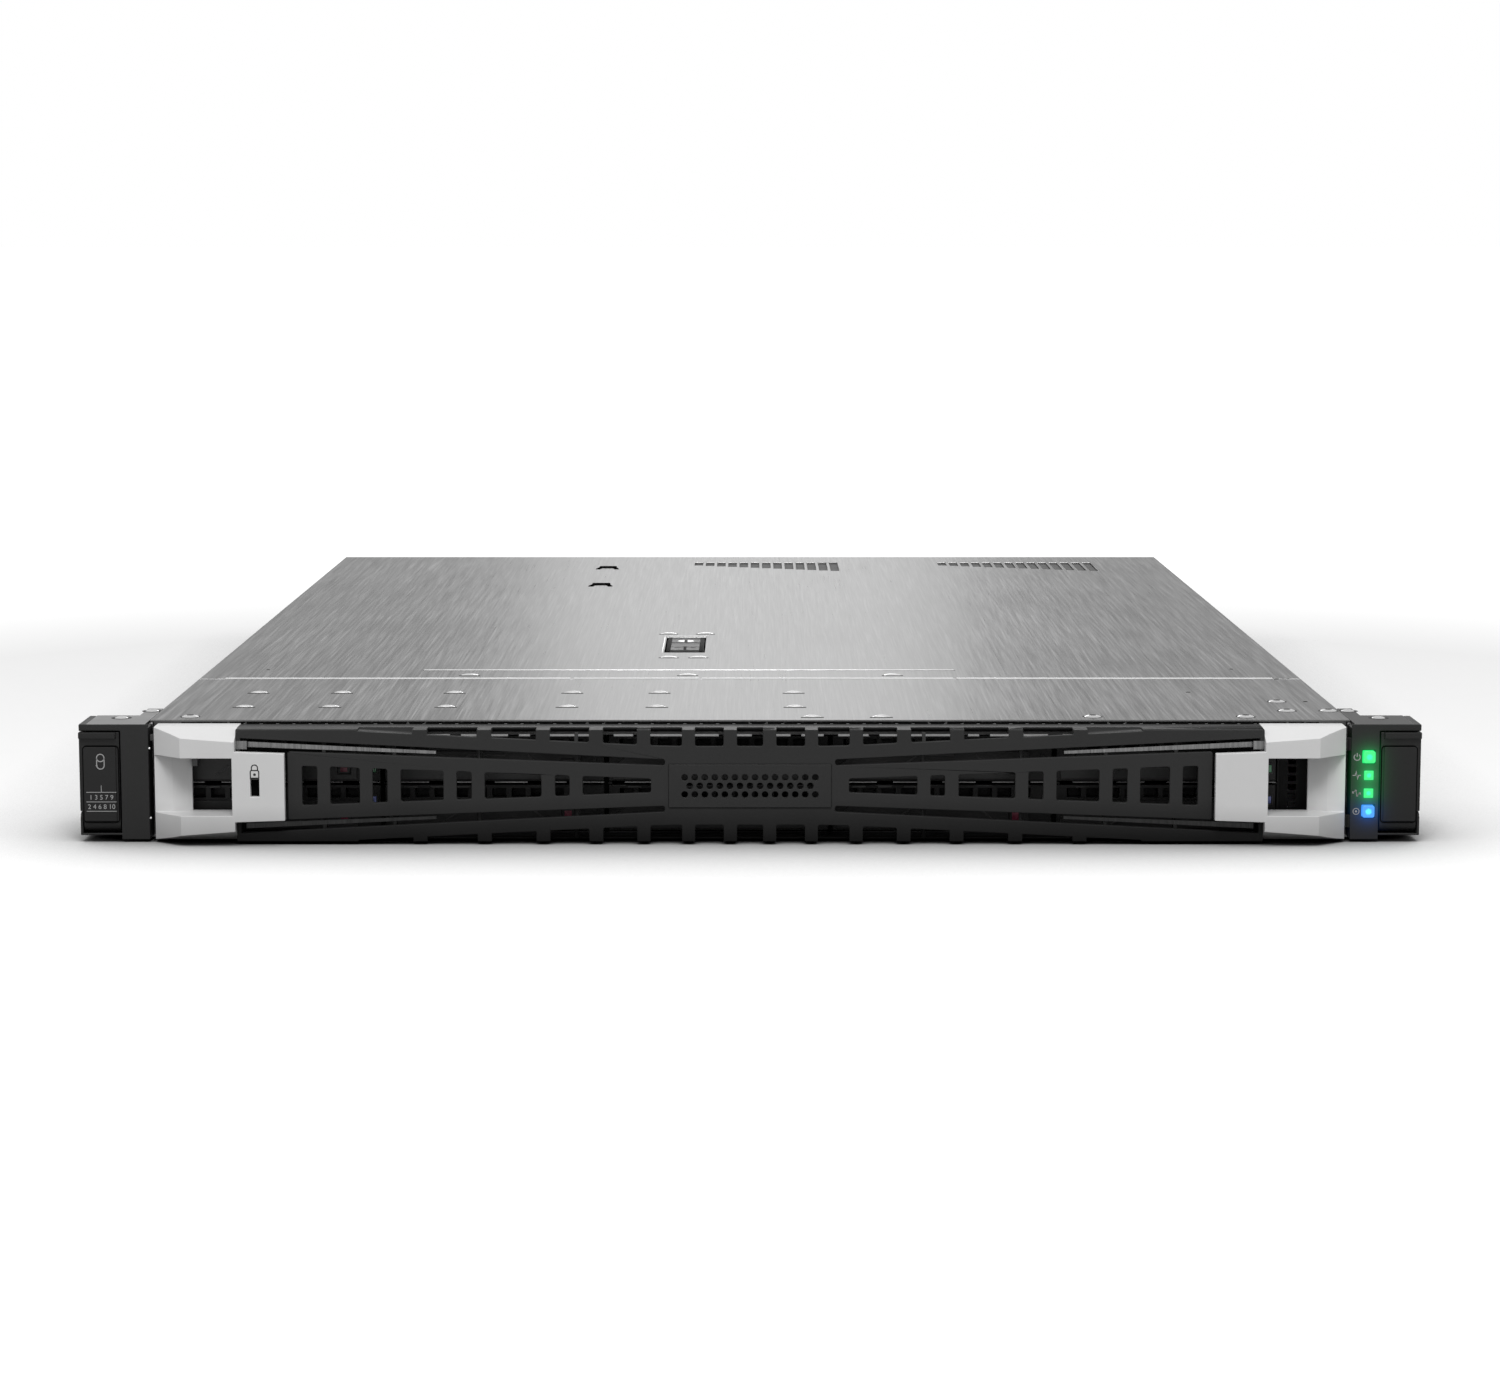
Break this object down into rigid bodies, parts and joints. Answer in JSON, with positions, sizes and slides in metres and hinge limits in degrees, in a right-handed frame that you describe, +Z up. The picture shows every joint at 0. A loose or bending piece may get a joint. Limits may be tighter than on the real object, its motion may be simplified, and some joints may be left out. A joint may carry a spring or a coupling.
{
  "type": "rack server",
  "caption": "Flat rack-mount computer with a slotted front bezel, drives behind it, lift-off top panel, fans, power supplies and quick-release rack ears.",
  "frame": {"origin": "middle of the footprint, on the plane that the chassis floor rests on", "axes": "+Z up, +Y from the front to the rear, +X to the right as seen from the front"},
  "size_m": [0.4826, 0.7, 0.0436],
  "materials": {
    "tray_steel": "zinc-plated sheet, satin",
    "lid_steel": "brushed front to rear",
    "ear_steel": "brushed, dark",
    "cage_steel": "zinc-plated sheet, satin",
    "rivet_steel": "polished",
    "strip_steel": "brushed upright",
    "ear_plastic": "fine grain, matte",
    "lever_plastic": "fine grain, matte",
    "grille_plastic": "fine grain, matte",
    "insert_plate": "dark satin, perforated",
    "end_silver": "light silver, fine satin",
    "release_plastic": "matte",
    "lens_green": "lit, green",
    "button_green": "lit, green",
    "button_blue": "lit, blue",
    "board_green": "solder mask, semi-gloss",
    "backplane_green": "solder mask, semi-gloss",
    "memory_green": "solder mask and black chips",
    "socket_plastic": "matte",
    "cpu_steel": "satin frame",
    "sink_aluminium": "satin fins",
    "baffle_plastic": "matte, slightly clear smoke",
    "riser_steel": "satin",
    "riser_green": "solder mask",
    "cover_steel": "satin, perforated",
    "port_metal": "satin",
    "card_metal": "satin",
    "fan_plastic": "matte",
    "rotor_plastic": "semi-gloss",
    "psu_steel": "satin",
    "handle_plastic": "matte",
    "catch_plastic": "matte, maroon touch point",
    "drive_black": "matte carrier and dark steel disk",
    "latch_grey": "satin grey",
    "tub_black": "matte"
  },
  "bodies": {
    "chassis": {"chassis_tray": "tray_steel", "rear_wall": "tray_steel", "front_top_cover": "lid_steel", "left_ear_bracket": "ear_steel", "right_ear_bracket": "ear_steel", "left_ear_housing": "ear_plastic", "right_ear_housing": "ear_plastic", "drive_cage": "cage_steel", "drive_backplane": "backplane_green", "fan_cage": "cage_steel", "fan_frames": "fan_plastic", "system_board": "board_green", "cpu_socket": "cpu_steel", "cpu_heatsink": "sink_aluminium", "dimm_sockets": "socket_plastic", "memory_modules": "memory_green", "air_baffle": "baffle_plastic", "riser_cage": "riser_steel", "riser_boards": "riser_green", "slot_covers": "cover_steel", "rear_ports": "port_metal", "network_card": "card_metal", "cover_rivets": "rivet_steel", "rail_studs": "rivet_steel", "status_lenses": "lens_green"},
    "top_panel": {"access_panel": "lid_steel", "latch_housing": "tub_black"},
    "panel_latch_lever": {"panel_latch": "latch_grey"},
    "bezel": {"bezel_frame": "grille_plastic", "bezel_left_end": "end_silver", "bezel_right_end": "end_silver", "bezel_strips": "strip_steel", "bezel_insert": "insert_plate"},
    "bezel_release_bar": {"bezel_release": "release_plastic"},
    "left_rack_lever": {"left_lever": "lever_plastic"},
    "right_rack_lever": {"right_lever": "lever_plastic"},
    "power_key": {"power_button": "button_green"},
    "locator_key": {"locator_button": "button_blue"},
    "rotor_1": {"fan_rotor_1": "rotor_plastic"},
    "rotor_2": {"fan_rotor_2": "rotor_plastic"},
    "rotor_3": {"fan_rotor_3": "rotor_plastic"},
    "rotor_4": {"fan_rotor_4": "rotor_plastic"},
    "rotor_5": {"fan_rotor_5": "rotor_plastic"},
    "rotor_6": {"fan_rotor_6": "rotor_plastic"},
    "psu_1": {"psu_1_case": "psu_steel", "psu_1_handle": "handle_plastic"},
    "psu_1_catch": {"psu_1_latch": "catch_plastic"},
    "psu_2": {"psu_2_case": "psu_steel", "psu_2_handle": "handle_plastic"},
    "psu_2_catch": {"psu_2_latch": "catch_plastic"},
    "drive_unit_1": {"drive_1": "drive_black"},
    "drive_unit_2": {"drive_2": "drive_black"},
    "drive_unit_3": {"drive_3": "drive_black"},
    "drive_unit_4": {"drive_4": "drive_black"},
    "drive_unit_5": {"drive_5": "drive_black"},
    "drive_unit_6": {"drive_6": "drive_black"},
    "drive_unit_7": {"drive_7": "drive_black"},
    "drive_unit_8": {"drive_8": "drive_black"},
    "drive_unit_9": {"drive_9": "drive_black"},
    "drive_unit_10": {"drive_10": "drive_black"}
  },
  "joints": [
    {"name": "panel_lift", "type": "slide", "parent": "chassis", "child": "top_panel", "axis": [0, 0, 1], "range_m": [0, 0.12]},
    {"name": "panel_latch_turn", "type": "hinge", "parent": "top_panel", "child": "panel_latch_lever", "pos_m": [-0.0275, -0.0655, 0.0404], "axis": [-1, 0, 0], "range_deg": [0, 75]},
    {"name": "bezel_swing", "type": "hinge", "parent": "chassis", "child": "bezel", "pos_m": [0.2165, -0.338, 0.02125], "axis": [0, 0, 1], "range_deg": [0, 25]},
    {"name": "bezel_release_slide", "type": "slide", "parent": "bezel", "child": "bezel_release_bar", "axis": [1, 0, 0], "range_m": [0, 0.0025], "stiffness_N_per_m": 400, "springref_m": -0.001},
    {"name": "left_lever_turn", "type": "hinge", "parent": "chassis", "child": "left_rack_lever", "pos_m": [-0.2331, -0.33745, 0.0066], "axis": [1, 0, 0], "range_deg": [0, 60], "stiffness_Nm_per_rad": 0.02, "springref_deg": -17.19},
    {"name": "right_lever_turn", "type": "hinge", "parent": "chassis", "child": "right_rack_lever", "pos_m": [0.2331, -0.33745, 0.0066], "axis": [1, 0, 0], "range_deg": [0, 60], "stiffness_Nm_per_rad": 0.02, "springref_deg": -17.19},
    {"name": "power_press", "type": "slide", "parent": "chassis", "child": "power_key", "axis": [0, 1, 0], "range_m": [0, 0.0008], "stiffness_N_per_m": 600, "springref_m": -0.001},
    {"name": "locator_press", "type": "slide", "parent": "chassis", "child": "locator_key", "axis": [0, 1, 0], "range_m": [0, 0.0008], "stiffness_N_per_m": 600, "springref_m": -0.001},
    {"name": "rotor_1_spin", "type": "hinge", "parent": "chassis", "child": "rotor_1", "pos_m": [-0.175, -0.151, 0.021], "axis": [0, 1, 0], "continuous": true},
    {"name": "rotor_2_spin", "type": "hinge", "parent": "chassis", "child": "rotor_2", "pos_m": [-0.105, -0.151, 0.021], "axis": [0, 1, 0], "continuous": true},
    {"name": "rotor_3_spin", "type": "hinge", "parent": "chassis", "child": "rotor_3", "pos_m": [-0.035, -0.151, 0.021], "axis": [0, 1, 0], "continuous": true},
    {"name": "rotor_4_spin", "type": "hinge", "parent": "chassis", "child": "rotor_4", "pos_m": [0.035, -0.151, 0.021], "axis": [0, 1, 0], "continuous": true},
    {"name": "rotor_5_spin", "type": "hinge", "parent": "chassis", "child": "rotor_5", "pos_m": [0.105, -0.151, 0.021], "axis": [0, 1, 0], "continuous": true},
    {"name": "rotor_6_spin", "type": "hinge", "parent": "chassis", "child": "rotor_6", "pos_m": [0.175, -0.151, 0.021], "axis": [0, 1, 0], "continuous": true},
    {"name": "psu_1_slide", "type": "slide", "parent": "chassis", "child": "psu_1", "axis": [0, 1, 0], "range_m": [0, 0.19]},
    {"name": "psu_1_catch_turn", "type": "hinge", "parent": "psu_1", "child": "psu_1_catch", "pos_m": [-0.1484, 0.3235, 0.0209], "axis": [0, 0, 1], "range_deg": [0, 12], "stiffness_Nm_per_rad": 0.3, "springref_deg": -2.86},
    {"name": "psu_2_slide", "type": "slide", "parent": "chassis", "child": "psu_2", "axis": [0, 1, 0], "range_m": [0, 0.19]},
    {"name": "psu_2_catch_turn", "type": "hinge", "parent": "psu_2", "child": "psu_2_catch", "pos_m": [-0.0733, 0.3235, 0.0209], "axis": [0, 0, 1], "range_deg": [0, 12], "stiffness_Nm_per_rad": 0.3, "springref_deg": -2.86},
    {"name": "drive_1_slide", "type": "slide", "parent": "chassis", "child": "drive_unit_1", "axis": [0, -1, 0], "range_m": [0, 0.005]},
    {"name": "drive_2_slide", "type": "slide", "parent": "chassis", "child": "drive_unit_2", "axis": [0, -1, 0], "range_m": [0, 0.005]},
    {"name": "drive_3_slide", "type": "slide", "parent": "chassis", "child": "drive_unit_3", "axis": [0, -1, 0], "range_m": [0, 0.005]},
    {"name": "drive_4_slide", "type": "slide", "parent": "chassis", "child": "drive_unit_4", "axis": [0, -1, 0], "range_m": [0, 0.005]},
    {"name": "drive_5_slide", "type": "slide", "parent": "chassis", "child": "drive_unit_5", "axis": [0, -1, 0], "range_m": [0, 0.005]},
    {"name": "drive_6_slide", "type": "slide", "parent": "chassis", "child": "drive_unit_6", "axis": [0, -1, 0], "range_m": [0, 0.005]},
    {"name": "drive_7_slide", "type": "slide", "parent": "chassis", "child": "drive_unit_7", "axis": [0, -1, 0], "range_m": [0, 0.005]},
    {"name": "drive_8_slide", "type": "slide", "parent": "chassis", "child": "drive_unit_8", "axis": [0, -1, 0], "range_m": [0, 0.005]},
    {"name": "drive_9_slide", "type": "slide", "parent": "chassis", "child": "drive_unit_9", "axis": [0, -1, 0], "range_m": [0, 0.005]},
    {"name": "drive_10_slide", "type": "slide", "parent": "chassis", "child": "drive_unit_10", "axis": [0, -1, 0], "range_m": [0, 0.005]}
  ]
}
